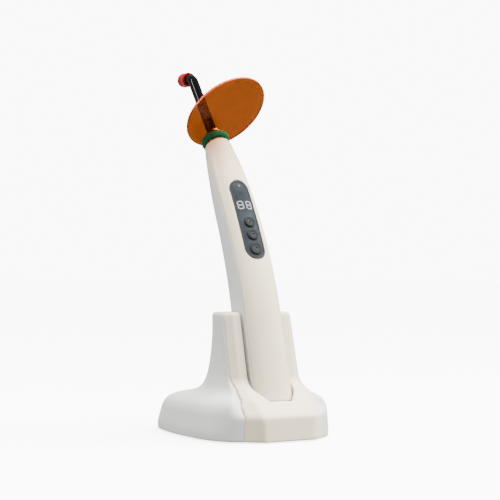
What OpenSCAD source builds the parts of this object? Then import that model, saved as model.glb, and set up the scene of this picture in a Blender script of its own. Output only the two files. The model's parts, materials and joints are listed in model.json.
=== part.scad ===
// Cordless dental curing light standing in its charging base.
// Millimetres, +Z up, front towards -Y, origin on the underside of the base.

/* [Handpiece] */
// Lean of the straight lower handpiece from the vertical, in degrees
lean_low = 15.5; // [13:0.5:16]
// Lean of the nose and of the light guide, in degrees
lean_nose = 37; // [35:0.5:38]
// Radius of the curved part of the handpiece, on its mid line
bend_r = 310; // [305:1:320]
// Length of the straight lower part
straight_len = 64; // [62:1:66]
// Wall thickness of the handpiece shells
hp_wall = 2; // [1.6:0.1:2.2]

/* [Light guide and shield] */
// Diameter of the light guide rod
guide_d = 8; // [8:0.1:8]
// Straight length of the light guide above the nose
guide_len = 66; // [60:0.5:68]
// Bend of the light guide near its tip, in degrees
guide_bend = 50; // [30:1:55]
// Diameter of the orange light shield
shield_d = 66.5; // [60:1:70]
// Cant of the shield from square to the light guide, in degrees
shield_cant = 13; // [11:0.5:14]
// Distance of the shield centre from the light guide axis
shield_off = 22; // [20:0.5:24]
// Direction of that offset around the light guide, from the front, in degrees
shield_turn = 8; // [-180:1:180]
// Direction in which the shield is canted, on the same scale
shield_cant_turn = 61; // [-180:1:180]

/* [Buttons and display] */
// Diameter of the two upper buttons
button_d = 8.2; // [7.8:0.1:8.4]
// Diameter of the lowest button
big_button_d = 9.2; // [8.8:0.1:9.4]
// Travel of each button
button_travel = 0.6; // [0.4:0.1:0.6]
// Length of the control panel
panel_len = 65.6; // [64:0.2:67]
// Width of the control panel
panel_w = 15.8; // [15.4:0.1:16]

/* [Base] */
// Wall thickness of the base shells
base_wall = 2.4; // [2:0.1:2.6]
// Clearance around the handpiece in its slot
slot_gap = 1.7; // [1.5:0.1:1.9]
// Height of the shells above the surface that the feet stand on
foot_h = 0.8; // [0.6:0.1:1]
// Travel of each charging pin
pin_travel = 1; // [0.8:0.1:1]

/* [Hidden] */

ivory = [0.93, 0.91, 0.85];
grey = [0.85, 0.86, 0.85];
deg_per_mm = 180 / PI / bend_r;

// ---- Handpiece mid line: straight up from the foot, one arc, then the straight nose ----
join_y = -6.3;
join_z = 84.3;
arc_y = join_y + bend_r * cos(lean_low);
arc_z = join_z - bend_r * sin(lean_low);
bend_end = straight_len + (lean_nose - lean_low) / deg_per_mm;
nose_len = 28;
hp_len = bend_end + nose_len;

function lean(s) = s < straight_len ? lean_low : min(lean_nose, lean_low + (s - straight_len) * deg_per_mm);
function past_arc(s) = min(s - straight_len, 0) + max(s - bend_end, 0);
function mid_y(s) = arc_y - bend_r * cos(lean(s)) + past_arc(s) * sin(lean(s));
function mid_z(s) = arc_z + bend_r * sin(lean(s)) + past_arc(s) * cos(lean(s));

// Half width, reach to the front and to the rear, and parting line, along the mid line
function half_w(s) = lookup(s, [[0, 14.5], [64, 14.8], [110, 14.6], [150, 13.9], [175, 13.2], [190, 12.2],
    [200, 11], [206, 10.2], [210, 9.4]]);
function front_r(s) = lookup(s, [[0, 7.6], [64, 8], [120, 8], [175, 9.2], [190, 9.8], [206, 9.8],
    [210, 9.4]]);
function rear_r(s) = lookup(s, [[0, 23.8], [60, 23.6], [108, 21], [140, 19.2], [165, 17.4], [182, 14.6],
    [195, 12.2], [204, 10.6], [210, 9.4]]);
function parting(s) = lookup(s, [[0, -1], [110, -1.4], [150, 0], [180, 2.6], [198, 1.2], [210, 0]]);
function boxiness(s) = lookup(s, [[0, 5], [150, 4.2], [185, 2.8], [210, 2]]);

// Puts children in the frame of the mid line at s: +Z along it, +Y to the rear
module at(s) {
    translate([0, mid_y(s), mid_z(s)]) rotate([-lean(s), 0, 0]) children();
}

function power(c, n) = sign(c) * pow(abs(c), n);

// A point of the cross-section: an ellipse in front (0 to 180 degrees), boxier behind (180 to 360)
function front_point(a, s, g) = [(half_w(s) + g) * cos(a), -(front_r(s) + g) * sin(a)];
function rear_point(a, s, g) = [(half_w(s) + g) * power(cos(a), 2 / boxiness(s)),
    (rear_r(s) + g) * power(abs(sin(a)), 2 / boxiness(s))];
function outline_point(a, s, g) = (a >= 0 && a <= 180) || a > 360 ? front_point(a, s, g)
    : rear_point(a, s, g);
function section(s, g) = [for (a = [0:12:348]) outline_point(a, s, g)];

// The angle at which the outline reaches the depth p, on its right side
function edge_angle(s, g, p) = p <= 0 ? asin(-p / (front_r(s) + g))
    : -asin(pow(p / (rear_r(s) + g), boxiness(s) / 2));

arc_steps = 18;
function arc(from, to, s, g) = [for (k = [0:arc_steps])
    outline_point(from + (to - from) * k / arc_steps, s, g)];
function front_arc(s, g) = let (e = edge_angle(s, g, parting(s))) arc(e, 180 - e, s, g);
function rear_arc(s, g) = let (e = edge_angle(s, g, parting(s) + seam_gap)) arc(180 - e, 360 + e, s, g);
function backward(p) = [for (i = [len(p) - 1:-1:0]) p[i]];

// A ring of section points put in space at s
function placed(p, s) = [for (q = p) [q[0],
    mid_y(s) + q[1] * cos(lean(s)), mid_z(s) - q[1] * sin(lean(s))]];

// Skins a list of rings, all with the same number of points, and caps both ends
module loft(rings) {
    n = len(rings[0]);
    m = len(rings);
    polyhedron(points = [for (r = rings) each r], faces = concat(
        [for (i = [0:m - 2]) for (j = [0:n - 1]) [i * n + j, (i + 1) * n + j, (i + 1) * n + (j + 1) % n]],
        [for (i = [0:m - 2]) for (j = [0:n - 1]) [i * n + j, (i + 1) * n + (j + 1) % n, i * n + (j + 1) % n]],
        [[for (j = [0:n - 1]) j]],
        [[for (j = [n - 1:-1:0]) (m - 1) * n + j]]), convexity = 8);
}

seam_gap = 0.15;
cap_len = 2.4;
stations = [cap_len, 20, 44, 64, 76, 88, 100, 112, 124, 136, 148, 158, 167, 175, 182, 190, 197, 203,
    207, hp_len];

// ---- Control panel: a skin on the curved front, cut to a racetrack ----
panel_s = 136;
panel_front = 8;
crown_r = 20;
button_s = [132.4, 122.4, 111.6];
button_ds = [button_d, button_d, big_button_d];
window_top = 0.2;
window_t = 1.6;

module racetrack(l, w) {
    hull() for (e = [-1, 1]) translate([0, e * (l - w) / 2]) circle(d = w, $fn = 32);
}

module panel_prism(l, w) {
    at(panel_s) rotate([90, 0, 0]) linear_extrude(20) racetrack(l, w);
}

// A curved skin that stands proud of the front by top and is t thick
module panel_skin(top, t) {
    translate([0, arc_y, arc_z]) rotate([0, 90, 0]) rotate_extrude($fn = 360)
        intersection() {
            translate([bend_r + panel_front + top - crown_r, 0]) difference() {
                circle(crown_r, $fn = 96);
                circle(crown_r - t, $fn = 96);
            }
            translate([bend_r - 4, -panel_w / 2 - 1]) square([20, panel_w + 2]);
        }
}

module button_hole(i, extra) {
    at(button_s[i]) rotate([90, 0, 0]) cylinder(h = 20, d = button_ds[i] + 2 * extra, $fn = 64);
}

// ---- Base outline: half of it, from the front centre round to the rear centre ----
slot_half = 14.5 + slot_gap + 0.2;
function side_mix(z) = lookup(z, [[0, 0], [4, -0.01], [13.7, 0.04], [21.5, 0.11], [26, 0.22],
    [29, 0.4], [31, 0.62], [34, 0.77], [40, 0.87], [48, 0.93], [60, 0.975], [72, 1]]);
function ramp_y(z) = lookup(z, [[0, -46], [17, -44.8], [19, -43.4], [28, -33.5], [38, -18], [41, -15.4],
    [87, -4]]);
function mix(a, b, m) = a * (1 - m) + b * m;
function base_half(z) = let (f = ramp_y(z), m = side_mix(z)) [
    [0, f],
    [lookup(z, [[0, 19.5], [18, 20.5], [38, 22.5], [87, 22.5]]), f],
    [lookup(z, [[0, 31.5], [18, 31], [38, 28.7], [87, 27]]),
        f + lookup(z, [[0, 9], [18, 8.5], [28, 7], [38, 5.5], [87, 5]])],
    mix([40.5, -29], [27.2, f + 11], m),
    mix([48, -12], [27.3, 9], m),
    mix([50, 14], [27.3, 13], m),
    mix([49, 45], [26.8, 18], m),
    mix([42, 76], [23.5, 22.5], m),
    mix([25, 92], [14, 24.5], m),
    mix([0, 97], [0, 24.5], m)];

// Rounds a list of points through itself, in steps parts per span, past the front face
function spline(p, i, t) = let (a = p[max(i - 1, 0)], b = p[i], c = p[i + 1],
    d = p[min(i + 2, len(p) - 1)])
    0.5 * (2 * b + (c - a) * t + (2 * a - 5 * b + 4 * c - d) * t * t + (3 * b - a - 3 * c + d) * t * t * t);
function smooth_half(p, steps) = concat([p[0], p[1]],
    [for (i = [2:len(p) - 2]) for (k = [0:steps - 1]) spline(p, i, k / steps)], [p[len(p) - 1]]);
function base_outline(z) = let (h = smooth_half(base_half(z), 3), n = len(h))
    concat(h, [for (i = [n - 2:-1:1]) [-h[i][0], h[i][1]]]);

levels = [foot_h, 4, 13.7, 18, 21.5, 26, 29, 31, 34, 38, 41, 48, 60, 72, 84, 86.4, 87.4];
function top_round(z) = z > 87 ? -2.4 : z > 86 ? -0.8 : 0;

module base_slice(z, g) {
    translate([0, 0, z]) linear_extrude(0.02) offset(delta = g + top_round(z))
        polygon(base_outline(z));
}

module base_solid(g = 0, drop = 0) {
    for (i = [0:len(levels) - 2])
        hull() {
            base_slice(levels[i] - drop, g);
            base_slice(levels[i + 1] - drop, g);
        }
}

// The slot that the handpiece stands in: its own section and an open front above the lip
lip_z = 1.2;
floor_gap = 1.2;
module slot(g = 0) {
    at(0) {
        translate([0, 0, -floor_gap - g]) linear_extrude(120) polygon(section(0, slot_gap + g));
        rotate([90, 0, 0]) linear_extrude(60) polygon([
            [-slot_half - g, 12 - g], [-9, lip_z - g], [9, lip_z - g], [slot_half + g, 12 - g],
            [slot_half + g, 120], [-slot_half - g, 120]]);
    }
}

module seam_region(g = 0) {
    rotate([90, 0, 90]) translate([0, 0, -60]) linear_extrude(120) offset(delta = g)
        polygon([[-90, -5], [-37, -5], [-36.3, 17], [-26.5, 28], [-12.4, 38.5], [-9.8, 42],
            [1, 84], [1.8, 95], [-90, 95]]);
}

pin_x = 6;
pin_d = 8;
pin_r = 1.2;
inlet_z = 12;
inlet_y = 94;

module base_skin() {
    difference() {
        base_solid();
        difference() {
            base_solid(-base_wall, base_wall);
            slot(2.2);
        }
        slot();
        for (x = [-pin_x, pin_x]) at(0) translate([x, pin_d, -10]) cylinder(h = 20, r = pin_r + 0.3, $fn = 24);
        translate([-5, inlet_y - 14, inlet_z - 6.2]) cube([10, 30, 12.4]);
    }
}

module base_rear_shell() {
    color(grey) difference() {
        base_skin();
        seam_region(0.15);
    }
}

module base_front_cover() {
    color(ivory) intersection() {
        base_skin();
        seam_region();
    }
}

plate_t = 2;
screw_xy = [[-20, -31], [20, -31], [-30, 72], [30, 72]];
foot_xy = [[-30, -22], [30, -22], [-35, 58], [35, 58]];

module bottom_plate() {
    color(grey) difference() {
        translate([0, 0, foot_h]) linear_extrude(plate_t) offset(delta = -base_wall - 0.3)
            polygon(base_outline(0));
        for (p = screw_xy) translate([p[0], p[1], 0]) {
            cylinder(h = 6, r = 1.6, $fn = 32);
            cylinder(h = foot_h + 1.2, r = 3, $fn = 32);
        }
        for (p = foot_xy) translate([p[0], p[1], -1]) cylinder(h = 2.6, r = 5.2, $fn = 48);
        translate([0, 0, -1]) cylinder(h = 2.6, r = 12.2, $fn = 64);
    }
}

module rubber_feet() {
    color([0.15, 0.15, 0.15]) {
        for (p = foot_xy) translate([p[0], p[1], 0]) cylinder(h = 1.6, r = 5, $fn = 48);
        cylinder(h = 1.6, r = 12, $fn = 64);
    }
}

module plate_screws() {
    color("silver") for (p = screw_xy) translate([p[0], p[1], foot_h]) {
        translate([0, 0, 0.05]) cylinder(h = 1.1, r = 2.8, $fn = 32);
        cylinder(h = plate_t + 5, r = 1.5, $fn = 32);
    }
}

module ballast_plate() {
    color([0.45, 0.46, 0.48]) translate([-24, 20, foot_h + plate_t + 0.05]) cube([48, 46, 4]);
}

module charging_board() {
    color([0.1, 0.4, 0.2]) translate([-20, 30, 10.4]) difference() {
        cube([40, 44, 1.6]);
        for (x = [4, 36]) for (y = [4, 38]) translate([x, y, -1]) cylinder(h = 4, r = 1.6, $fn = 24);
    }
    color([0.1, 0.1, 0.1]) {
        translate([-9, 38, 12.05]) cube([8, 8, 2]);
        translate([6, 50, 12.05]) cube([10, 7, 6]);
    }
}

module dc_inlet() {
    color([0.12, 0.12, 0.12]) difference() {
        translate([-4.6, inlet_y - 13, inlet_z - 5.8]) cube([9.2, 13, 11.6]);
        translate([0, inlet_y + 1, inlet_z]) rotate([90, 0, 0]) cylinder(h = 10.5, r = 2.8, $fn = 48);
    }
    color("silver") translate([0, inlet_y - 1.2, inlet_z]) rotate([90, 0, 0])
        cylinder(h = 8.3, r = 1, $fn = 32);
}

// Spring-loaded charging contacts under the slot floor
module pin_holder() {
    color([0.1, 0.1, 0.1]) at(0) difference() {
        translate([-10, pin_d - 4, -13.4]) cube([20, 8, 9.8]);
        for (x = [-pin_x, pin_x]) translate([x, pin_d, -12.2]) {
            cylinder(h = 20, r = pin_r + 0.05, $fn = 48);
            translate([0, 0, -0.01]) cylinder(h = 7, r = 1.85, $fn = 48);
        }
    }
}

module charge_pin(x) {
    color("gold") at(0) translate([x, pin_d, 0]) {
        translate([0, 0, -9]) cylinder(h = 8.35, r = pin_r, $fn = 48);
        translate([0, 0, -0.66]) cylinder(h = 0.6, r1 = pin_r, r2 = 0.7, $fn = 48);
        translate([0, 0, -7]) cylinder(h = 1, r = 1.75, $fn = 48);
    }
}
module charge_pin_left() { charge_pin(-pin_x); }
module charge_pin_right() { charge_pin(pin_x); }

module pin_springs() {
    color("silver") for (x = [-pin_x, pin_x]) for (k = [0:4])
        at(0) translate([x, pin_d, -11.9 + k * 0.45]) rotate_extrude($fn = 32)
            translate([1.5, 0]) circle(0.18, $fn = 16);
}

// ---- Handpiece shells ----
screw_s = [7, 88];
module screw_line(s, r, from, to) {
    at(s) rotate([-90, 0, 0]) translate([0, 0, from]) cylinder(h = to - from, r = r, $fn = 32);
}

module vents() {
    for (e = [-1, 1]) for (k = [0, 1])
        at(hp_len - 11) translate([e * 10, 3 + 2.4 * k, 0]) cube([7, 0.9, 5.5 - k], center = true);
}

module front_shell() {
    color(ivory) difference() {
        loft([for (s = stations) placed(concat(front_arc(s, 0), backward(front_arc(s, -hp_wall))), s)]);
        panel_prism(panel_len + 0.1, panel_w + 0.1);
    }
}

// Brass inserts in the front shell that take the shell screws
module thread_inserts() {
    color("goldenrod") for (s = screw_s) difference() {
        screw_line(s, 2.6, -front_r(s) + hp_wall + 0.4, -2);
        screw_line(s, 1.2, -front_r(s) + hp_wall + 1, 0);
    }
}

module rear_shell() {
    color(grey) difference() {
        loft([for (s = stations)
            placed(concat(rear_arc(s, 0), backward(rear_arc(s, -hp_wall))), s)]);
        for (s = screw_s) {
            screw_line(s, 1.5, 0, 30);
            screw_line(s, 2.9, rear_r(s) - 1.2, 30);
        }
        vents();
    }
}

// The end cap that closes the foot and carries the charging contacts
module foot_cap() {
    color(grey) difference() {
        loft([for (k = [[0, -1.4], [0.5, -0.6], [1.3, 0], [cap_len - 0.05, 0]])
            placed(section(k[0], k[1]), k[0])]);
        for (x = [-pin_x, pin_x]) at(0) translate([x, pin_d, -1]) cylinder(h = 8, r = 2.05, $fn = 32);
    }
}

module shell_screws() {
    color("silver") for (s = screw_s) {
        screw_line(s, 1.15, -front_r(s) + hp_wall + 1.2, rear_r(s) - 1.3);
        screw_line(s, 2.6, rear_r(s) - 1.15, rear_r(s) - 0.1);
    }
}

module charge_contacts() {
    color("gold") for (x = [-pin_x, pin_x]) at(0) translate([x, pin_d, 0]) {
        cylinder(h = 4.6, r = 2, $fn = 48);
        translate([0, 0, 4.6]) cylinder(h = 0.8, r = 3, $fn = 48);
    }
}

// ---- Panel, display and buttons ----
module panel_bezel() {
    color([0.2, 0.21, 0.21]) intersection() {
        panel_skin(0.5, 2.4);
        difference() {
            panel_prism(panel_len, panel_w);
            panel_prism(panel_len - 2.6, panel_w - 2.6);
        }
    }
}

module panel_window() {
    color([0.38, 0.42, 0.46]) difference() {
        intersection() {
            panel_skin(window_top, window_t);
            panel_prism(panel_len - 2.7, panel_w - 2.7);
        }
        for (i = [0:2]) button_hole(i, 0.1);
    }
}

digit_w = 4.8;
digit_h = 7;
stroke = 0.9;
display_s = 146.6;
module seven_segments() {
    for (y = [0, 1, 2]) translate([0, (y - 1) * (digit_h - stroke) / 2])
        square([digit_w - 2 * stroke, stroke * 0.9], center = true);
    for (x = [-1, 1]) for (y = [-1, 1])
        translate([x * (digit_w - stroke) / 2, y * (digit_h - stroke) / 4])
            square([stroke * 0.9, (digit_h - stroke) / 2 - stroke * 0.5], center = true);
}

module display_digits() {
    color([0.85, 0.9, 0.9]) intersection() {
        panel_skin(window_top + 0.12, 0.1);
        at(display_s) rotate([90, 0, 0]) linear_extrude(20)
            for (e = [-1, 1]) translate([e * 3.3, 0]) seven_segments();
    }
}

module status_led() {
    color([0.7, 0.75, 0.78]) at(163) translate([0, -8.6, 0]) rotate([-90, 0, 0])
        cylinder(h = 0.35, r = 0.9, $fn = 32);
}

board_front = -1.5;
module display_module() {
    color([0.1, 0.1, 0.1]) at(panel_s) translate([-4.4, board_front - 3.4, 5]) cube([8.8, 3.35, 12]);
}

module main_board() {
    color([0.05, 0.35, 0.2]) at(panel_s) translate([-8.4, board_front, -37]) cube([16.8, 1.2, 55]);
}

module tact_switches() {
    color([0.15, 0.15, 0.15]) at(panel_s) for (s = button_s) {
        z = s - panel_s;
        top = -5 + z * z / 722 + button_travel + 0.35;
        translate([-3, board_front - 1.6, z - 3]) cube([6, 1.55, 6]);
        translate([0, board_front - 1.6, z]) rotate([90, 0, 0])
            cylinder(h = -top + board_front - 1.6, r = 1.4, $fn = 32);
    }
}

module buzzer() {
    color([0.08, 0.08, 0.08]) at(panel_s) translate([0, board_front + 1.25, -30]) rotate([-90, 0, 0])
        difference() {
            cylinder(h = 3.6, r = 5, $fn = 48);
            translate([0, 0, 3]) cylinder(h = 2, r = 1, $fn = 24);
        }
}

module push_button(i) {
    color([0.55, 0.57, 0.58]) at(button_s[i]) rotate([90, 0, 0]) {
        translate([0, 0, 5.1]) cylinder(h = 3.6, d = button_ds[i], $fn = 64);
        translate([0, 0, 8.7]) cylinder(h = 0.5, d1 = button_ds[i], d2 = button_ds[i] - 1.2, $fn = 64);
        translate([0, 0, 5]) cylinder(h = 0.8, d = button_ds[i] + 0.9, $fn = 64);
    }
}
module mode_button() { push_button(0); }
module time_button() { push_button(1); }
module power_button() { push_button(2); }

// ---- Battery and light engine ----
cell_y = 9.6;
module battery_cell() {
    color([0.2, 0.35, 0.6]) at(46) translate([0, cell_y, 0]) {
        translate([0, 0, -32.5]) cylinder(h = 64, r = 9.2, $fn = 64);
        translate([0, 0, 31.5]) cylinder(h = 1, r = 3, $fn = 48);
    }
}

module battery_contacts() {
    color("silver") at(46) translate([0, cell_y, 0]) {
        translate([-5, -5, 32.55]) cube([10, 10, 0.5]);
        translate([-5, -5, -33.6]) cube([10, 10, 0.5]);
        translate([0, 0, -33.1]) cylinder(h = 0.55, r1 = 4, r2 = 2.5, $fn = 32);
    }
}

module heat_sink() {
    color([0.75, 0.76, 0.78]) at(166) translate([0, 3.2, -10.5]) {
        cylinder(h = 18, r = 6.4, $fn = 64);
        for (k = [0:4]) translate([0, 0, 4 * k]) cylinder(h = 2, r = 8.2, $fn = 64);
    }
}

module led_board() {
    color([0.9, 0.9, 0.9]) at(hp_len) translate([0, 0, -29.5]) cylinder(h = 1.6, r = 5.4, $fn = 64);
}

module led_emitter() {
    color([0.9, 0.85, 0.4]) at(hp_len) translate([0, 0, -27.85]) {
        translate([-1.7, -1.7, 0]) cube([3.4, 3.4, 0.8]);
        translate([0, 0, 0.8]) cylinder(h = 0.6, r1 = 1.3, r2 = 0.9, $fn = 32);
    }
}

module reflector() {
    color([0.85, 0.86, 0.88]) at(hp_len) translate([0, 0, -27.8]) difference() {
        cylinder(h = 6.3, r = 5.2, $fn = 64);
        translate([0, 0, -0.01]) cylinder(h = 6.4, r1 = 2.6, r2 = 4.6, $fn = 64);
    }
}

module collimator_lens() {
    color([0.85, 0.92, 0.95]) at(hp_len) translate([0, 0, -21.4]) {
        cylinder(h = 1, r = 4.9, $fn = 64);
        translate([0, 0, 1]) cylinder(h = 1, r1 = 4.2, r2 = 2.4, $fn = 64);
    }
}

socket_bore = 5.05;
module guide_socket() {
    color([0.6, 0.62, 0.65]) at(hp_len) translate([0, 0, -21.4]) difference() {
        cylinder(h = 21.4, r = 6.3, $fn = 64);
        translate([0, 0, -1]) cylinder(h = 24, r = socket_bore, $fn = 64);
    }
}

module nose_collar() {
    color([0.25, 0.12, 0.05]) at(hp_len) translate([0, 0, 0.05]) difference() {
        union() {
            cylinder(h = 1.3, r = 8.8, $fn = 64);
            translate([0, 0, 1.3]) cylinder(h = 0.6, r1 = 8.8, r2 = 7.8, $fn = 64);
        }
        translate([0, 0, -1]) cylinder(h = 5, r = socket_bore, $fn = 64);
    }
}

// ---- Light guide, its ferrule, tip cap and shield ----
guide_r = guide_d / 2;
tip_bend_r = 10;
tip_len = 9;
module guide_ferrule() {
    color([0.7, 0.71, 0.73]) at(hp_len) difference() {
        union() {
            translate([0, 0, -18]) cylinder(h = 20, r = 5, $fn = 64);
            translate([0, 0, 2]) cylinder(h = 0.7, r = 6.4, $fn = 64);
        }
        translate([0, 0, -19]) cylinder(h = 30, r = guide_r + 0.05, $fn = 64);
        translate([0, 0, -10]) difference() {
            cylinder(h = 0.8, r = 6, $fn = 64);
            translate([0, 0, -1]) cylinder(h = 3, r = 4.5, $fn = 64);
        }
    }
}

module ferrule_o_ring() {
    color([0.05, 0.05, 0.05]) at(hp_len) translate([0, 0, -9.6]) rotate_extrude($fn = 64)
        translate([4.77, 0]) circle(0.26, $fn = 24);
}

module at_tip() {
    at(hp_len) translate([0, tip_bend_r, guide_len]) rotate([-guide_bend, 0, 0])
        translate([0, -tip_bend_r, 0]) children();
}

module light_guide() {
    color([0.06, 0.06, 0.07]) {
        at(hp_len) translate([0, 0, -17]) cylinder(h = guide_len + 17, r = guide_r, $fn = 64);
        at(hp_len) translate([0, tip_bend_r, guide_len]) rotate([90, 0, -90]) rotate_extrude(
            angle = guide_bend, $fn = 180) translate([tip_bend_r, 0]) circle(guide_r, $fn = 64);
        at_tip() cylinder(h = tip_len, r = guide_r, $fn = 64);
    }
}

cap_r = 5.7;
cap_from = 0.6;
cap_len_straight = 8.4;
module tip_cap() {
    color([0.6, 0.08, 0.1, 0.9]) at_tip() difference() {
        union() {
            translate([0, 0, cap_from]) cylinder(h = cap_len_straight, r = cap_r, $fn = 64);
            translate([0, 0, cap_from + cap_len_straight]) sphere(cap_r, $fn = 64);
        }
        translate([0, 0, cap_from - 1]) cylinder(h = tip_len - cap_from + 1.1, r = guide_r + 0.08, $fn = 64);
    }
}

ring_z = 2.75;
ring_h = 5.35;
ring_r = 11;
hub_r = 6;
module shield_ring() {
    color([0.16, 0.5, 0.36]) at(hp_len) translate([0, 0, ring_z]) difference() {
        rotate_extrude($fn = 64) {
            translate([ring_r - ring_h / 2, ring_h / 2]) circle(ring_h / 2, $fn = 32);
            square([ring_r - ring_h / 2, ring_h]);
        }
        translate([0, 0, -1]) cylinder(h = 10, r = guide_r + 0.05, $fn = 64);
        translate([0, 0, 1.4]) cylinder(h = 10, r = hub_r + 0.05, $fn = 64);
    }
}

shield_z = 12;
shield_t = 1.8;
module shield_disc() {
    color([0.8, 0.35, 0.08, 0.8]) at(hp_len) difference() {
        union() {
            translate([0, 0, ring_z + 1.7]) cylinder(h = shield_z - ring_z - 1.7, r = hub_r, $fn = 64);
            translate([0, 0, shield_z]) rotate([0, 0, shield_cant_turn]) rotate([-shield_cant, 0, 0])
                rotate([0, 0, shield_turn - shield_cant_turn]) translate([0, -shield_off, -shield_t / 2])
                    cylinder(h = shield_t, d = shield_d, $fn = 128);
        }
        cylinder(h = 30, r = guide_r + 0.35, $fn = 64);
    }
}

base_rear_shell();
base_front_cover();
bottom_plate();
rubber_feet();
ballast_plate();
charging_board();
dc_inlet();
pin_holder();
plate_screws();
charge_pin_left();
charge_pin_right();
pin_springs();
front_shell();
rear_shell();
foot_cap();
thread_inserts();
panel_bezel();
panel_window();
display_digits();
display_module();
status_led();
main_board();
tact_switches();
buzzer();
battery_cell();
battery_contacts();
charge_contacts();
shell_screws();
heat_sink();
led_board();
led_emitter();
reflector();
collimator_lens();
guide_socket();
nose_collar();
mode_button();
time_button();
power_button();
guide_ferrule();
ferrule_o_ring();
light_guide();
tip_cap();
shield_ring();
shield_disc();
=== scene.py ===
"""Looks for the dental curing light and its charging base.

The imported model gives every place. The moulded shells are made again here with soft edges,
each as a smooth field (negative inside) turned into a quad mesh. Shapes are worked out in
millimetres, in the same formulas as the model, and become metres in new_mesh().
"""
import json
import math

import bpy
import numpy as np
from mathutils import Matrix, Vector


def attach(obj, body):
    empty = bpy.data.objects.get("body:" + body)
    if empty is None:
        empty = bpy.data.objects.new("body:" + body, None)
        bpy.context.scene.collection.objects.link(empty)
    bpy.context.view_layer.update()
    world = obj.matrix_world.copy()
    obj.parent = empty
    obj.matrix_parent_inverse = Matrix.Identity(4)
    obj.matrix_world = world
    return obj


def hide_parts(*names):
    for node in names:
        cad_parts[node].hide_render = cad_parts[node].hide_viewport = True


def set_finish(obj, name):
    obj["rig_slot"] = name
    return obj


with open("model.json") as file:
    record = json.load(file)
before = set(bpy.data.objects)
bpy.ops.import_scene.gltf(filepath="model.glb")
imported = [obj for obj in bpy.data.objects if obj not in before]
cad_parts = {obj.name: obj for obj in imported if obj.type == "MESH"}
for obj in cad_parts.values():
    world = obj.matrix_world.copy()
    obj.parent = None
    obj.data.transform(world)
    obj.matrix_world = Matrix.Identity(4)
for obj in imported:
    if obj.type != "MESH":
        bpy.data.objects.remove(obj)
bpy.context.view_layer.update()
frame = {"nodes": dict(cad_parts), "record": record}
nodes = frame["nodes"]
MM = 0.001

# ---------------------------------------------------------------- meshes

CORNERS = [(i, j, k) for i in (0, 1) for j in (0, 1) for k in (0, 1)]


def new_mesh(name, points, faces, smooth=True):
    """A mesh object from points in millimetres."""
    mesh = bpy.data.meshes.new(name)
    mesh.from_pydata((np.asarray(points, float) * MM).tolist(), [], faces)
    mesh.validate()
    mesh.polygons.foreach_set("use_smooth", [smooth] * len(mesh.polygons))
    piece = bpy.data.objects.new(name, mesh)
    bpy.context.scene.collection.objects.link(piece)
    return piece


def surface(field, low, high, step):
    """Points and quads of the zero surface of field(x, y, z), by surface nets."""
    axes = [np.arange(a, b + step, step, dtype=np.float32) for a, b in zip(low, high)]
    grid = np.meshgrid(*axes, indexing="ij")
    f = field(*grid).astype(np.float32)
    inside = f < 0
    nx, ny, nz = f.shape

    def shifted(a, c):
        return a[c[0]:nx - 1 + c[0], c[1]:ny - 1 + c[1], c[2]:nz - 1 + c[2]]

    count = sum(shifted(inside, c).astype(np.int8) for c in CORNERS)
    cells = np.argwhere((count > 0) & (count < 8))
    number = -np.ones((nx - 1, ny - 1, nz - 1), dtype=np.int64)
    number[tuple(cells.T)] = np.arange(len(cells))
    total = np.zeros((len(cells), 3))
    hits = np.zeros(len(cells))
    for a in CORNERS:
        for axis in range(3):
            if a[axis]:
                continue
            b = tuple(c + (n == axis) for n, c in enumerate(a))
            fa = f[tuple((cells + a).T)].astype(float)
            fb = f[tuple((cells + b).T)].astype(float)
            cross = (fa < 0) != (fb < 0)
            t = np.where(cross, fa / np.where(cross, fa - fb, 1), 0)
            at = cells + np.array(a, float)
            at[:, axis] += t
            total += at * cross[:, None]
            hits += cross
    where = total / hits[:, None]
    faces = []
    for axis in range(3):
        u, v = (axis + 1) % 3, (axis + 2) % 3
        here = [slice(0, n) for n in f.shape]
        there = list(here)
        here[axis] = slice(0, f.shape[axis] - 1)
        there[axis] = slice(1, f.shape[axis])
        edges = np.argwhere(inside[tuple(here)] != inside[tuple(there)])
        edges = edges[(edges[:, u] > 0) & (edges[:, v] > 0)
                      & (edges[:, u] < f.shape[u] - 1) & (edges[:, v] < f.shape[v] - 1)]
        quad = []
        for du, dv in ((1, 1), (0, 1), (0, 0), (1, 0)):
            c = edges.copy()
            c[:, u] -= du
            c[:, v] -= dv
            quad.append(number[tuple(c.T)])
        quad = np.stack(quad, 1)
        flip = ~inside[tuple(edges.T)]
        quad[flip] = quad[flip][:, ::-1]
        faces.append(quad)
    quads = np.concatenate(faces)
    points = np.array([a[0] for a in axes]) + where * step
    return relax(points, quads, f, axes, step), quads


def sample(f, axes, step, points):
    """The field at any points, between the grid's values."""
    g = (points - [a[0] for a in axes]) / step
    g = np.clip(g, 0, np.array(f.shape) - 1.001)
    i = g.astype(int)
    t = g - i
    out = 0
    for c in CORNERS:
        weight = np.prod(np.where(c, t, 1 - t), axis=1)
        out = out + weight * f[i[:, 0] + c[0], i[:, 1] + c[1], i[:, 2] + c[2]]
    return out


def relax(points, quads, f, axes, step, rounds=3):
    """Evens out the points and puts them back on the zero of the field."""
    for _ in range(rounds):
        total = np.zeros_like(points)
        count = np.zeros(len(points))
        for a, b in ((0, 1), (1, 2), (2, 3), (3, 0)):
            np.add.at(total, quads[:, a], points[quads[:, b]])
            np.add.at(total, quads[:, b], points[quads[:, a]])
            np.add.at(count, quads[:, a], 1)
            np.add.at(count, quads[:, b], 1)
        points = 0.5 * points + 0.5 * total / count[:, None]
        value = sample(f, axes, step, points)
        slope = np.stack([(sample(f, axes, step, points + e)
                           - sample(f, axes, step, points - e)) / step
                          for e in np.eye(3) * step / 2], 1)
        size = np.maximum((slope ** 2).sum(1), 0.2)
        points = points - slope * np.clip(value / size, -step, step)[:, None]
    return points


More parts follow.
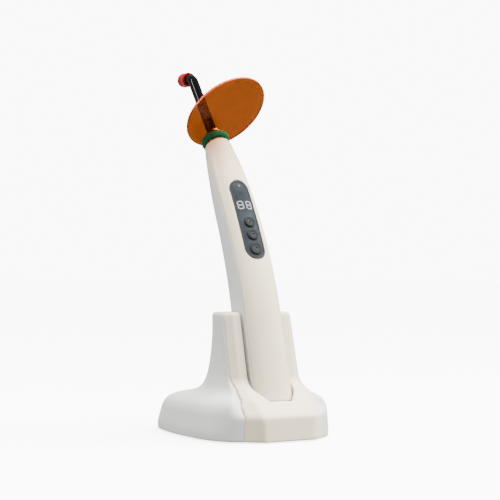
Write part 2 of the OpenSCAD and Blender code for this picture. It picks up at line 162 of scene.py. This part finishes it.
def lathe(name, profile, place, segments=96):
    """A closed (radius, height) outline turned about the height and put in space by place."""
    n = len(profile)
    angle = np.linspace(0, 2 * math.pi, segments, endpoint=False)
    points = [(r * math.cos(a), r * math.sin(a), h) for a in angle for r, h in profile]
    faces = []
    for i in range(segments):
        this, after = i * n, (i + 1) % segments * n
        faces += [(this + j, after + j, after + (j + 1) % n, this + (j + 1) % n)
                  for j in range(n)]
    return new_mesh(name, place(np.array(points)), faces)


def rounded(corners, steps=6):
    """An outline from (radius, height, rounding) corners, each rounded with a curve."""
    out = []
    for k, (x, y, r) in enumerate(corners):
        here = np.array((x, y))
        if not r:
            out.append(here)
            continue
        before = np.array(corners[k - 1][:2]) - here
        after = np.array(corners[(k + 1) % len(corners)][:2]) - here
        a = here + before * r / np.linalg.norm(before)
        b = here + after * r / np.linalg.norm(after)
        for i in range(steps + 1):
            t = i / steps
            out.append(a * (1 - t) ** 2 + here * 2 * t * (1 - t) + b * t * t)
    return out


# ---------------------------------------------------------------- fields


def both(a, b, r):
    """The overlap of two solids, its new edge rounded with radius r."""
    reach = np.hypot(np.maximum(a + r, 0), np.maximum(b + r, 0))
    return np.minimum(np.maximum(a, b), -r) + reach


def curve_through(table):
    """A smooth function through (place, value) pairs that never overshoots them."""
    xs, ys = np.array(table, float).T
    d = np.diff(ys) / np.diff(xs)
    m = np.concatenate([[d[0]], (d[1:] + d[:-1]) / 2, [d[-1]]])
    flat = np.concatenate([[False], d[1:] * d[:-1] <= 0, [False]])
    m[flat] = 0
    for i, slope in enumerate(d):
        limit = 3 * abs(slope)
        m[i] = np.clip(m[i], -limit, limit)
        m[i + 1] = np.clip(m[i + 1], -limit, limit)

    def at(x):
        x = np.clip(x, xs[0], xs[-1])
        i = np.clip(np.searchsorted(xs, x) - 1, 0, len(xs) - 2)
        h = xs[i + 1] - xs[i]
        t = (x - xs[i]) / h
        return ((2 * t ** 3 - 3 * t ** 2 + 1) * ys[i] + (t ** 3 - 2 * t ** 2 + t) * h * m[i]
                + (3 * t ** 2 - 2 * t ** 3) * ys[i + 1] + (t ** 3 - t ** 2) * h * m[i + 1])
    return at


# ---------------------------------------------------------------- handpiece

LEAN_LOW, LEAN_NOSE = 15.5, 37.0
BEND_R, STRAIGHT, NOSE = 310.0, 64.0, 28.0
JOIN_Y, JOIN_Z = -6.3, 84.3
ARC_Y = JOIN_Y + BEND_R * math.cos(math.radians(LEAN_LOW))
ARC_Z = JOIN_Z - BEND_R * math.sin(math.radians(LEAN_LOW))
BEND_END = STRAIGHT + math.radians(LEAN_NOSE - LEAN_LOW) * BEND_R
LENGTH = BEND_END + NOSE
CAP_H = 2.4     # height of the foot cap
WALL = 2.0      # of the shells

# Measures along the handpiece: half its width, its depth each way from the mid line, where
# its two shells meet, and how square its back is
half_w = curve_through([(0, 14.5), (64, 14.8), (110, 14.6), (150, 13.9), (175, 13.2), (190, 12.2),
                        (200, 11), (206, 10.2), (210, 9.4)])
front_r = curve_through([(0, 7.6), (64, 8), (120, 8), (175, 9.2), (190, 9.8), (206, 9.8),
                         (210, 9.4)])
rear_r = curve_through([(0, 23.8), (60, 23.6), (108, 21), (140, 19.2), (165, 17.4), (182, 14.6),
                        (195, 12.2), (204, 10.6), (210, 9.4)])
parting = curve_through([(0, -1), (110, -1.4), (150, 0), (180, 2.6), (198, 1.2), (210, 0)])
boxiness = curve_through([(0, 5), (150, 4.2), (185, 2.8), (210, 2)])


def lean(s):
    """How far the handpiece leans back at s along it, in radians."""
    degrees = LEAN_LOW + np.degrees((s - STRAIGHT) / BEND_R)
    return np.radians(np.clip(degrees, LEAN_LOW, LEAN_NOSE))


def along(points, shift=0.0):
    """From (x, depth, way along the mid line) to the model's x, y, z."""
    x, d, s = points[:, 0], points[:, 1], points[:, 2] + shift
    a = lean(s)
    past = np.minimum(s - STRAIGHT, 0) + np.maximum(s - BEND_END, 0)
    y = ARC_Y - BEND_R * np.cos(a) + past * np.sin(a)
    z = ARC_Z + BEND_R * np.sin(a) + past * np.cos(a)
    return np.stack([x, y + d * np.cos(a), z - d * np.sin(a)], 1)


def at_nose(points):
    """From the straight frame on the nose, +Z along the light guide."""
    return along(np.asarray(points, float), LENGTH)


def section_field(x, d, s, grow=0.0):
    """About the distance to the handpiece's outline in its cross-section."""
    w = half_w(s) + grow
    back = d > 0
    reach = np.where(back, rear_r(s), front_r(s)) + grow
    n = np.where(back, boxiness(s), 2.0)
    u = np.abs(x) / w + 1e-6
    v = np.abs(d) / reach + 1e-6
    g = (u ** n + v ** n) ** (1 / n)
    slope = np.hypot((u / g) ** (n - 1) / w, (v / g) ** (n - 1) / reach)
    return (g - 1) / slope


PANEL_S, PANEL_L, PANEL_W = 136.0, 64.2, 15.95
SCREWS, SCREW_R = (7.0, 88.0), 2.9
VENT_D, VENT_GAP, VENT_HALF_W = 3.2, 2.6, 0.75
VENT_DOWN, VENT_HALF_L, VENT_INNER_X = 11, 2.8, 5.5
PIN_X, PIN_D = 6, 8     # the charging pins, in the handpiece's section
CONTACT_R = 2.05
CUT_R, PARTING_R, PANEL_EDGE_R, FOOT_R = 0.3, 0.4, 0.35, 1.5


def shell_field(x, d, s):
    skin = section_field(x, d, s)
    ends = np.maximum(CAP_H - s, s - LENGTH)
    return both(both(skin, -(skin + WALL), CUT_R), ends, CUT_R)


def front_field(x, d, s):
    f = both(shell_field(x, d, s), d - parting(s) + 0.05, PARTING_R)
    out = np.maximum(np.abs(s - PANEL_S) - (PANEL_L - PANEL_W) / 2, 0)
    return both(f, PANEL_W / 2 - np.hypot(x, out), PANEL_EDGE_R)


def rear_field(x, d, s):
    """The rear shell with its screw holes and the two cooling slots on each side."""
    f = both(shell_field(x, d, s), parting(s) + 0.12 - d, PARTING_R)
    for place in SCREWS:
        f = np.where(d > 5, both(f, SCREW_R - np.hypot(x, s - place), CUT_R), f)
    for k in (0, 1):
        vent = np.maximum(np.abs(d - VENT_D - VENT_GAP * k) - VENT_HALF_W,
                          np.abs(s - LENGTH + VENT_DOWN) - VENT_HALF_L + 0.5 * k)
        f = np.maximum(f, -np.maximum(vent, VENT_INNER_X - np.abs(x)))
    return f


def foot_field(x, d, s):
    f = both(section_field(x, d, s * 0), -s, FOOT_R)
    f = np.maximum(f, s - CAP_H + 0.05)
    for side in (-1, 1):
        f = np.maximum(f, CONTACT_R - np.hypot(x - PIN_X * side, d - PIN_D))
    return f


def moulded_piece(name, field, low, high, step, place, body, slot, replaced):
    """A field's surface, placed, in the room from low to high on a grid of this step."""
    points, quads = surface(field, low, high, step)
    piece = new_mesh(name, place(points), quads.tolist())
    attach(piece, body)
    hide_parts(replaced)
    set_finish(piece, slot)


SHELL_STEP, FOOT_STEP = 0.6, 0.5
moulded_piece("handpiece_front", front_field, (-17, -12, 0), (17, 5, 211), SHELL_STEP, along,
              "handpiece", "ivory_shell", "front_shell")
moulded_piece("handpiece_rear", rear_field, (-17, -4, 0), (17, 27, 211), SHELL_STEP, along,
              "handpiece", "grey_shell", "rear_shell")
moulded_piece("handpiece_foot", foot_field, (-17, -11, -1), (17, 27, 4), FOOT_STEP, along,
              "handpiece", "grey_shell", "foot_cap")

# ---------------------------------------------------------------- charging base

FOOT_H, TOP_Z, BASE_WALL = 0.8, 87.4, 2.4
HUB_Y = 12.0    # the upright line that the outline's distances are taken from
SLOT_HALF, SLOT_GAP, FLOOR_GAP, LIP = 16.4, 1.7, 1.2, 1.2
MOUTH_HALF, MOUTH_RISE = 9, 12      # where the front opening's slanted floor starts and ends

# How far the outline has gone from the foot's to the tower's, and the front's line, by height
side_mix = curve_through([(0, 0), (4, -0.01), (13.7, 0.04), (21.5, 0.11), (26, 0.22), (29, 0.4),
                          (31, 0.62), (34, 0.77), (40, 0.87), (48, 0.93), (60, 0.975), (72, 1)])
ramp_table = [(0, -46), (17, -44.8), (19, -43.4), (28, -33.5), (38, -18), (41, -15.4), (87, -4)]


def line(table, z):
    """The straight-line value at z in a table of (height, value)."""
    xs, ys = np.array(table, float).T
    return np.interp(z, xs, ys)


def base_half(z):
    """Half of the outline at height z, from the front centre round to the rear centre."""
    f = line(ramp_table, z)
    m = float(side_mix(z))

    def mix(a, b):
        return (np.array(a, float) * (1 - m) + np.array(b, float) * m).tolist()

    return [
        [0, f],
        [line([(0, 19.5), (18, 20.5), (38, 22.5), (87, 22.5)], z), f],
        [line([(0, 31.5), (18, 31), (38, 28.7), (87, 27)], z),
         f + line([(0, 9), (18, 8.5), (28, 7), (38, 5.5), (87, 5)], z)],
        mix((40.5, -29), (27.2, f + 11)),
        mix((48, -12), (27.3, 9)),
        mix((50, 14), (27.3, 13)),
        mix((49, 45), (26.8, 18)),
        mix((42, 76), (23.5, 22.5)),
        mix((25, 92), (14, 24.5)),
        mix((0, 97), (0, 24.5))]


def spline_half(p, steps=16):
    """Straight across the front and its corner face, then a smooth curve through the rest."""
    p = np.array(p)
    out = [p[0] + (p[1] - p[0]) * t for t in np.linspace(0, 1, steps, endpoint=False)]
    out += [p[1] + (p[2] - p[1]) * t for t in np.linspace(0, 1, steps, endpoint=False)]
    for i in range(2, len(p) - 1):
        a, b, c, d = p[max(i - 1, 0)], p[i], p[i + 1], p[min(i + 2, len(p) - 1)]
        for t in np.linspace(0, 1, steps, endpoint=False):
            out.append(0.5 * (2 * b + (c - a) * t + (2 * a - 5 * b + 4 * c - d) * t ** 2
                              + (3 * b - a - 3 * c + d) * t ** 3))
    return np.array(out + [p[-1]])


TURNS = 720
LEVELS = np.arange(-3, 92, 0.5)


def blur(table, width, axis, wrap):
    """The table smoothed along one axis, which joins end to end if wrap is true."""
    reach = int(3 * width) + 1
    k = np.exp(-0.5 * (np.arange(-reach, reach + 1) / width) ** 2)
    k /= k.sum()
    total = 0
    for n, weight in zip(range(-reach, reach + 1), k):
        if wrap:
            total = total + weight * np.roll(table, n, axis)
        else:
            index = np.clip(np.arange(table.shape[axis]) + n, 0, table.shape[axis] - 1)
            total = total + weight * np.take(table, index, axis)
    return total


def radius_table():
    """The outline's distance from the hub line, for each level and each direction."""
    angles = (np.arange(TURNS) + 0.5) / TURNS * 2 * math.pi - math.pi
    top = ramp_table[-1][0]
    rows = []
    for z in LEVELS:
        half = spline_half(base_half(min(max(z, 0), top)))
        ring = np.concatenate([half, (half * [-1, 1])[-2:0:-1]])
        a = np.arctan2(ring[:, 0], HUB_Y - ring[:, 1])
        r = np.hypot(ring[:, 0], HUB_Y - ring[:, 1])
        order = np.argsort(a)
        a, r = a[order], r[order]
        # between two points the outline is straight, so 1/r is blended by sines
        i = np.searchsorted(a, angles)
        i0, i1 = (i - 1) % len(a), i % len(a)
        a0 = np.where(i == 0, a[i0] - 2 * math.pi, a[i0])
        a1 = np.where(i == len(a), a[i1] + 2 * math.pi, a[i1])
        rows.append(r[i0] * r[i1] * np.sin(a1 - a0)
                    / (r[i0] * np.sin(angles - a0) + r[i1] * np.sin(a1 - angles)))
    return blur(blur(np.array(rows), 2.2, 1, True), 2.0, 0, False)


radii = radius_table()


def side_field(x, y, z):
    """About the distance to the base's side wall, on a grid whose last axis is z."""
    a = np.arctan2(x[:, :, 0], HUB_Y - y[:, :, 0])
    rho = np.hypot(x[:, :, 0], HUB_Y - y[:, :, 0])
    turn = (a + math.pi) / (2 * math.pi) * TURNS - 0.5
    i = np.floor(turn).astype(int)
    t = turn - i
    out = np.empty(x.shape, np.float32)
    slope_z = np.gradient(radii, LEVELS, axis=0)
    slope_a = (np.roll(radii, -1, 1) - np.roll(radii, 1, 1)) * TURNS / (4 * math.pi)
    for k, level in enumerate(z[0, 0]):
        pos = (level - LEVELS[0]) / (LEVELS[1] - LEVELS[0])
        n = int(min(max(pos, 0), len(LEVELS) - 2))
        w = pos - n

        def row(table):
            values = table[n] * (1 - w) + table[n + 1] * w
            return values[i % TURNS] * (1 - t) + values[(i + 1) % TURNS] * t
        r = row(radii)
        steep = np.sqrt(1 + row(slope_z) ** 2 + (row(slope_a) / r) ** 2)
        out[:, :, k] = (rho - r) / steep
    return out


def in_slot(y, z):
    """Depth and height in the leaning frame of the handpiece's foot."""
    a = math.radians(LEAN_LOW)
    y0 = JOIN_Y - STRAIGHT * math.sin(a)
    z0 = JOIN_Z - STRAIGHT * math.cos(a)
    d = (y - y0) * math.cos(a) - (z - z0) * math.sin(a)
    t = (y - y0) * math.sin(a) + (z - z0) * math.cos(a)
    return d, t


def slot_field(x, y, z, grow=0.0):
    """The room the handpiece stands in, with the opening in front of it."""
    d, t = in_slot(y, z)
    well = np.maximum(section_field(x, d, t * 0, SLOT_GAP + grow), -FLOOR_GAP - grow - t)
    run, rise = SLOT_HALF - MOUTH_HALF, MOUTH_RISE - LIP
    slant = ((np.abs(x) - MOUTH_HALF) * rise - (t - LIP) * run) / math.hypot(run, rise)
    mouth = np.maximum(both(np.abs(x) - SLOT_HALF, slant, 1.5), LIP - t) - grow
    return np.minimum(well, np.maximum(mouth, d - grow))


COVER_HALF = 31.5   # no part of the cover reaches further out
SLOT_WALL = 2.2
TOP_R, RIM_R, SLOT_R, SEAM_R = 2.6, 0.6, 1.1, 0.5
PIN_HOLE_R = 1.5
INLET_Z, INLET_Y, INLET_HALF_W, INLET_HALF_H = 12, 80, 5, 6.2
SEAM = [(-37, -5), (-36.3, 17), (-26.5, 28), (-12.4, 38.5), (-9.8, 42), (1, 84), (1.8, 95)]


def seam_field(y, z):
    """Distance behind the line where the ivory cover meets the grey shell."""
    best = np.full(y.shape, 1e3, np.float32)
    for (y0, z0), (y1, z1) in zip(SEAM, SEAM[1:]):
        dy, dz = y1 - y0, z1 - z0
        t = np.clip(((y - y0) * dy + (z - z0) * dz) / (dy * dy + dz * dz), 0, 1)
        best = np.minimum(best, np.hypot(y - y0 - t * dy, z - z0 - t * dz))
    ys, zs = np.array(SEAM, float).T
    return np.where(y > np.interp(z, zs, ys), best, -best)


def skin_field(x, y, z):
    """The hollow base in one, with its slot, the pins' holes and the inlet's opening."""
    side = side_field(x, y, z)
    outer = both(both(side, z - TOP_Z, TOP_R), FOOT_H - z, RIM_R)
    hollow = np.maximum(np.maximum(side + BASE_WALL, z - TOP_Z + BASE_WALL),
                        -slot_field(x, y, z, SLOT_WALL))
    f = both(outer, -slot_field(x, y, z), SLOT_R)
    f = np.maximum(f, -hollow)
    d, t = in_slot(y, z)
    for side_x in (-PIN_X, PIN_X):
        f = np.maximum(f, np.where(t < 10, PIN_HOLE_R - np.hypot(x - side_x, d - PIN_D), -50))
    socket = np.maximum(np.maximum(np.abs(x) - INLET_HALF_W, np.abs(z - INLET_Z) - INLET_HALF_H),
                        INLET_Y - y)
    return np.maximum(f, -socket)


def base_front_field(x, y, z):
    ahead = np.maximum(seam_field(y, z) + 0.1, np.abs(x) - COVER_HALF)
    return both(skin_field(x, y, z), ahead, SEAM_R)


def base_rear_field(x, y, z):
    behind = np.minimum(0.15 - seam_field(y, z), COVER_HALF - np.abs(x))
    return both(skin_field(x, y, z), behind, SEAM_R)


def in_place(points):
    return points


BASE_STEP = 0.8
BASE_LOW = (-53, -49, -1)
moulded_piece("base_shell", base_rear_field, BASE_LOW, (53, 100, 89), BASE_STEP, in_place,
              "base", "grey_shell", "base_rear_shell")
moulded_piece("base_cover", base_front_field, BASE_LOW, (53, 12, 89), BASE_STEP, in_place,
              "base", "ivory_shell", "base_front_cover")

# ---------------------------------------------------------------- lathe-turned pieces

GUIDE_R, GUIDE_LEN, GUIDE_BEND, TIP_R, TIP_LEN = 4.0, 66.0, 50.0, 10.0, 9.0


def tip_place(points):
    """From the straight frame of the light guide's tip."""
    a = math.radians(GUIDE_BEND)
    p = np.asarray(points, float)
    y = TIP_R + (p[:, 1] - TIP_R) * math.cos(a) + p[:, 2] * math.sin(a)
    z = GUIDE_LEN - (p[:, 1] - TIP_R) * math.sin(a) + p[:, 2] * math.cos(a)
    return at_nose(np.stack([p[:, 0], y, z], 1))


def lathe_piece(name, profile, place, body, slot, replaced, segments=96):
    """A turned piece that rides on a body and stands for one node."""
    piece = lathe(name, profile, place, segments)
    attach(piece, body)
    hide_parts(replaced)
    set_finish(piece, slot)
    return piece


# Red cap: a rolled lip, straight wall and a domed end
CAP_R, CAP_FROM, CAP_STRAIGHT = 5.7, 0.6, 8.4
dome = [(CAP_R * math.cos(t), CAP_FROM + CAP_STRAIGHT + CAP_R * math.sin(t))
        for t in np.linspace(0, math.pi / 2 - 0.01, 20)]
cap_in = GUIDE_R + 0.08
cap_profile = ([(cap_in + 0.25, CAP_FROM), (CAP_R - 0.5, CAP_FROM), (CAP_R - 0.1, CAP_FROM + 0.3),
                (CAP_R, CAP_FROM + 0.8), (CAP_R, CAP_FROM + 1.6), (CAP_R - 0.2, CAP_FROM + 1.9),
                (CAP_R - 0.2, CAP_FROM + 5)] + dome
               + [(0.01, TIP_LEN + 0.12), (cap_in - 0.3, TIP_LEN + 0.12), (cap_in, TIP_LEN - 0.2),
                  (cap_in, CAP_FROM + 0.25)])
lathe_piece("red_cap", cap_profile, tip_place, "cap", "cap", "tip_cap")

# Shield: a thin disc with a soft rim, canted on its hub
SHIELD_R, SHIELD_T, SHIELD_Z, SHIELD_OFF = 33.25, 1.8, 12.0, 22.0
SHIELD_CANT, SHIELD_TURN, SHIELD_CANT_TURN = 13.0, 8.0, 61.0
HUB_R, HUB_LOW, HOLE_R, DISC_HOLE_R = 6.0, 4.6, 4.35, 6.15
RIM_STEPS, DISC_SEGMENTS, RIM_ROUND = 12, 144, 0.45


def turned(points, degrees):
    a = math.radians(degrees)
    x, y, z = points.T
    return np.stack([x * math.cos(a) - y * math.sin(a), x * math.sin(a) + y * math.cos(a), z], 1)


def disc_place(points):
    """From the disc's own flat frame to its canted place on the hub."""
    p = turned(points + [0, -SHIELD_OFF, 0], SHIELD_TURN - SHIELD_CANT_TURN)
    a = math.radians(SHIELD_CANT)
    x, y, z = p.T
    p = np.stack([x, y * math.cos(a) + z * math.sin(a), -y * math.sin(a) + z * math.cos(a)], 1)
    return at_nose(turned(p, SHIELD_CANT_TURN) + [0, 0, SHIELD_Z])


def disc_mesh():
    """A disc with a rounded rim and a round hole for the light guide, off its middle."""
    half_t = SHIELD_T / 2
    loops = []
    for k in range(RIM_STEPS + 1):
        a = math.pi * (k / RIM_STEPS - 0.5)
        loops.append((SHIELD_R + (RIM_ROUND * math.cos(a) - RIM_ROUND), 0, half_t * math.sin(a)))
    loops += [(DISC_HOLE_R, SHIELD_OFF, half_t), (DISC_HOLE_R, SHIELD_OFF, -half_t)]
    n, fine = len(loops), DISC_SEGMENTS
    angle = np.linspace(0, 2 * math.pi, fine, endpoint=False)
    points = [(r * math.cos(a), y + r * math.sin(a), h) for r, y, h in loops for a in angle]
    faces = []
    for i in range(n):
        this, after = i * fine, (i + 1) % n * fine
        faces += [(this + j, this + (j + 1) % fine, after + (j + 1) % fine, after + j)
                  for j in range(fine)]
    return new_mesh("shield_plate", disc_place(np.array(points)), faces)


shield = disc_mesh()
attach(shield, "shield")
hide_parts("shield_disc")
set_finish(shield, "shield")
hub_top = SHIELD_Z + 1.2
hub = lathe("shield_hub", rounded([(HOLE_R, HUB_LOW, 0.2), (HUB_R, HUB_LOW, 0.3),
                                   (HUB_R, hub_top, 0.4), (HOLE_R, hub_top, 0.3)]), at_nose)
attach(hub, "shield")
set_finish(hub, "shield")

# Green ring: a soft silicone collar with a shallow groove round its edge
ring_profile = rounded([(4.05, 2.75, 0.2), (9.1, 2.75, 1.2), (11, 4.1, 1.0), (10.75, 5.4, 0.5),
                        (11, 6.6, 1.0), (9.1, 8.1, 1.3), (6.05, 8.1, 0.2), (6.05, 4.15, 0.1),
                        (4.05, 4.15, 0.1)])
lathe_piece("green_ring", ring_profile, at_nose, "ring", "ring", "shield_ring")

# Buttons: soft keys with a rounded rim, a shallow dish and a fine raised mark
BUTTONS = (("mode", 132.4, 8.2), ("time", 122.4, 8.2), ("power", 111.6, 9.2))


def key_place(s):
    """Places a key's own frame at s along the handpiece, +Z out of the panel."""
    def place(points):
        p = np.asarray(points, float)
        a = lean(np.full(len(p), s))
        start = along(np.array([[0.0, 0.0, s]]))[0]
        y = start[1] - p[:, 2] * np.cos(a) + p[:, 1] * np.sin(a)
        z = start[2] + p[:, 2] * np.sin(a) + p[:, 1] * np.cos(a)
        return np.stack([p[:, 0], y, z], 1)
    return place


marks = []
for name, s, wide in BUTTONS:
    r = wide / 2
    profile = rounded([(0.01, 5, 0), (r + 0.45, 5, 0.1), (r + 0.45, 5.8, 0.2), (r, 5.8, 0.1),
                       (r, 9.2, 0.7), (r * 0.72, 9.2, 0.5), (r * 0.5, 9.02, 0.4), (0.01, 8.98, 0)])
    lathe_piece(name + "_key_cap", profile, key_place(s), name + "_key", "buttons",
                name + "_button", 64)
    bar = [(r * 0.34 + 0.16 * math.cos(t), 9.02 + 0.1 * math.sin(t))
           for t in np.linspace(0, 2 * math.pi, 10, endpoint=False)]
    mark = lathe(name + "_key_mark", bar, key_place(s), 48)
    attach(mark, name + "_key")
    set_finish(mark, "led")
    marks.append(mark)

# ---------------------------------------------------------------- materials


def shader(name):
    """A new material with its node tree and its Principled shader."""
    material = bpy.data.materials.new(name)
    material.use_nodes = True
    tree = material.node_tree
    return material, tree, tree.nodes["Principled BSDF"]


def add(tree, kind, **values):
    """A new node with these values on its sockets, or else on itself."""
    node = tree.nodes.new(kind)
    for key, value in values.items():
        if key in node.inputs:
            node.inputs[key].default_value = value
        else:
            setattr(node, key, value)
    return node


def surface_look(name, color, shade, rough=(0.3, 0.4), grain=900.0, bump=0.02, cloud=18.0, **fixed):
    """Colour drifting softly between color and shade, with fine grain in the gloss and relief."""
    material, tree, bsdf = shader(name)
    link = tree.links.new
    where = add(tree, "ShaderNodeTexCoord")
    soft = add(tree, "ShaderNodeTexNoise", Scale=cloud, Detail=4.0, Roughness=0.55)
    link(where.outputs["Object"], soft.inputs["Vector"])
    tint = add(tree, "ShaderNodeValToRGB")
    tint.color_ramp.elements[0].position = 0.3
    tint.color_ramp.elements[0].color = (*shade, 1)
    tint.color_ramp.elements[1].position = 0.7
    tint.color_ramp.elements[1].color = (*color, 1)
    link(soft.outputs["Fac"], tint.inputs["Fac"])
    link(tint.outputs["Color"], bsdf.inputs["Base Color"])
    fine = add(tree, "ShaderNodeTexNoise", Scale=grain, Detail=3.0, Roughness=0.6)
    link(where.outputs["Object"], fine.inputs["Vector"])
    gloss = add(tree, "ShaderNodeMapRange", **{"To Min": rough[0], "To Max": rough[1]})
    link(fine.outputs["Fac"], gloss.inputs["Value"])
    link(gloss.outputs["Result"], bsdf.inputs["Roughness"])
    if bump:
        relief = add(tree, "ShaderNodeBump", Strength=bump, Distance=0.0003)
        link(fine.outputs["Fac"], relief.inputs["Height"])
        link(relief.outputs["Normal"], bsdf.inputs["Normal"])
    for key, value in fixed.items():
        bsdf.inputs[key.replace("_", " ")].default_value = value
    return material


looks = {}


def look(slot, *args, **fixed):
    """The look of one of the record's material slots."""
    looks[slot] = surface_look(slot, *args, **fixed)


look("grey_shell", (0.68, 0.69, 0.665), (0.65, 0.66, 0.635), (0.27, 0.36))
look("ivory_shell", (0.82, 0.715, 0.52), (0.79, 0.68, 0.49), (0.27, 0.36))
look("plate", (0.5, 0.5, 0.48), (0.45, 0.45, 0.44), (0.45, 0.6), bump=0.1)
look("feet", (0.03, 0.03, 0.03), (0.02, 0.02, 0.02), (0.6, 0.8), bump=0.2)
look("ballast", (0.4, 0.4, 0.4), (0.3, 0.3, 0.3), (0.3, 0.5), Metallic=1.0)
look("board", (0.02, 0.2, 0.07), (0.015, 0.14, 0.05), (0.25, 0.4))
look("inlet", (0.02, 0.02, 0.02), (0.012, 0.012, 0.012), (0.3, 0.45))
look("gold", (0.9, 0.66, 0.28), (0.8, 0.56, 0.2), (0.15, 0.3), Metallic=1.0)
look("steel", (0.6, 0.6, 0.61), (0.5, 0.5, 0.51), (0.18, 0.34), Metallic=1.0)
look("brass", (0.75, 0.55, 0.25), (0.6, 0.42, 0.18), (0.25, 0.4), Metallic=1.0)
look("bezel", (0.03, 0.034, 0.034), (0.022, 0.025, 0.026), (0.12, 0.22), Coat_Weight=0.6,
     Coat_Roughness=0.08)
look("window", (0.05, 0.06, 0.072), (0.01, 0.012, 0.015), (0.14, 0.22), cloud=30.0, bump=0.0,
     Specular_IOR_Level=0.3)
look("digits", (0.3, 0.3, 0.32), (0.24, 0.24, 0.26), (0.3, 0.4),
     Emission_Color=(0.75, 0.76, 0.8, 1), Emission_Strength=0.1)
look("black", (0.02, 0.02, 0.02), (0.012, 0.012, 0.012), (0.4, 0.55))
look("led", (0.12, 0.13, 0.135), (0.1, 0.105, 0.11), (0.2, 0.3))
look("cell", (0.03, 0.09, 0.3), (0.02, 0.06, 0.22), (0.2, 0.35))
look("alu", (0.75, 0.76, 0.77), (0.65, 0.66, 0.67), (0.25, 0.4), Metallic=1.0)
look("emitter", (0.85, 0.7, 0.15), (0.8, 0.62, 0.1), (0.3, 0.4))
look("mirror", (0.9, 0.9, 0.92), (0.85, 0.85, 0.88), (0.02, 0.06), Metallic=1.0)
look("lens", (0.95, 0.97, 0.98), (0.92, 0.95, 0.97), (0.01, 0.03), bump=0.0,
     Transmission_Weight=1.0, IOR=1.5)
look("collar", (0.09, 0.03, 0.014), (0.05, 0.018, 0.01), (0.1, 0.2), Coat_Weight=0.5,
     Coat_Roughness=0.05)
look("buttons", (0.024, 0.027, 0.027), (0.016, 0.018, 0.018), (0.35, 0.5), bump=0.1,
     Specular_IOR_Level=0.25)
look("guide", (0.0015, 0.001, 0.001), (0.001, 0.001, 0.001), (0.05, 0.08), bump=0.0,
     Specular_IOR_Level=0.12)
look("cap", (0.33, 0.003, 0.005), (0.2, 0.002, 0.003), (0.12, 0.2), bump=0.0,
     Specular_IOR_Level=0.12)
look("ring", (0.012, 0.13, 0.055), (0.008, 0.095, 0.04), (0.3, 0.42), bump=0.03,
     Specular_IOR_Level=0.1)
look("shield", (0.46, 0.11, 0.008), (0.42, 0.095, 0.006), (0.0, 0.01), bump=0.0,
     Transmission_Weight=0.97, IOR=1.15)
rim_look = surface_look("shield_rim", (0.5, 0.03, 0.012), (0.4, 0.02, 0.01), (0.1, 0.2), bump=0.0,
                        Transmission_Weight=0.6, IOR=1.3)
mark_look = surface_look("key_marks", (0.07, 0.075, 0.075), (0.06, 0.063, 0.063), (0.35, 0.5))

for entry in frame["record"]["subparts"]:
    data = nodes[entry["node"]].data
    data.materials.clear()
    data.materials.append(looks[entry["material_slot"]])
for piece in [o for o in bpy.data.objects if o.type == "MESH" and o.get("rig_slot")]:
    piece.data.materials.clear()
    piece.data.materials.append(looks[piece["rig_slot"]])
for mark in marks:
    mark.data.materials[0] = mark_look
shield.data.materials.append(rim_look)
for face in shield.data.polygons:
    on_rim = face.index < RIM_STEPS * DISC_SEGMENTS
    face.material_index = 1 if on_rim else 0
    face.use_smooth = on_rim

# ---------------------------------------------------------------- floor, light and camera

bpy.ops.mesh.primitive_plane_add(size=60)
floor = bpy.context.object
floor.name = "studio_floor"
floor_look, _, floor_bsdf = shader("studio_floor")
floor_bsdf.inputs["Base Color"].default_value = (0.93, 0.93, 0.93, 1)
floor_bsdf.inputs["Roughness"].default_value = 0.9
floor_bsdf.inputs["Specular IOR Level"].default_value = 0.1
floor_bsdf.inputs["Emission Color"].default_value = (1, 1, 1, 1)
floor_bsdf.inputs["Emission Strength"].default_value = 4.5
floor.data.materials.append(floor_look)
# the floor is seen but sends no light back up, which would flatten the shading
floor.visible_diffuse = floor.visible_glossy = False

world = bpy.data.worlds.new("studio")
bpy.context.scene.world = world
world.use_nodes = True
world_tree = world.node_tree
sky = world_tree.nodes["Background"]
sky.inputs["Color"].default_value = (1, 1, 1, 1)
# a soft fill on the object, and a bright even ground behind it
ray = add(world_tree, "ShaderNodeLightPath")
level = add(world_tree, "ShaderNodeMapRange", **{"To Min": 0.7, "To Max": 10.0})
world_tree.links.new(ray.outputs["Is Camera Ray"], level.inputs["Value"])
world_tree.links.new(level.outputs["Result"], sky.inputs["Strength"])


def softbox(name, place, aim, wide, high, power):
    """A rectangular light at place, turned to aim."""
    data = bpy.data.lights.new(name, "AREA")
    data.shape = "RECTANGLE"
    data.size, data.size_y = wide, high
    data.energy = power
    light = bpy.data.objects.new(name, data)
    light.location = place
    light.rotation_euler = (Vector(aim) - Vector(place)).to_track_quat("-Z", "Y").to_euler()
    bpy.context.scene.collection.objects.link(light)
    return light


middle = (0, 0.02, 0.13)
key_light = softbox("key", (0.9, -0.4, 0.6), middle, 0.5, 0.8, 24.0)
key_light.visible_glossy = False
softbox("side", (-0.7, 0.25, 0.75), (0, 0.1, 0.24), 0.08, 0.8, 8.0)
overhead = bpy.data.lights.new("overhead", "SUN")
overhead.energy = 17.0
overhead.angle = math.radians(60)
overhead_light = bpy.data.objects.new("overhead", overhead)
overhead_light.rotation_euler = Vector((0.3, -0.1, 1.2)).to_track_quat("Z", "Y").to_euler()
overhead_light.visible_glossy = False
bpy.context.scene.collection.objects.link(overhead_light)

camera_data = bpy.data.cameras.new("view")
camera_data.sensor_width = 36
camera_data.lens = 94.75
camera = bpy.data.objects.new("view", camera_data)
camera.location = (-0.4571, -0.8134, 0.110)
camera.rotation_euler = (math.radians(91.306), 0, math.radians(-29))
bpy.context.scene.collection.objects.link(camera)
bpy.context.scene.camera = camera
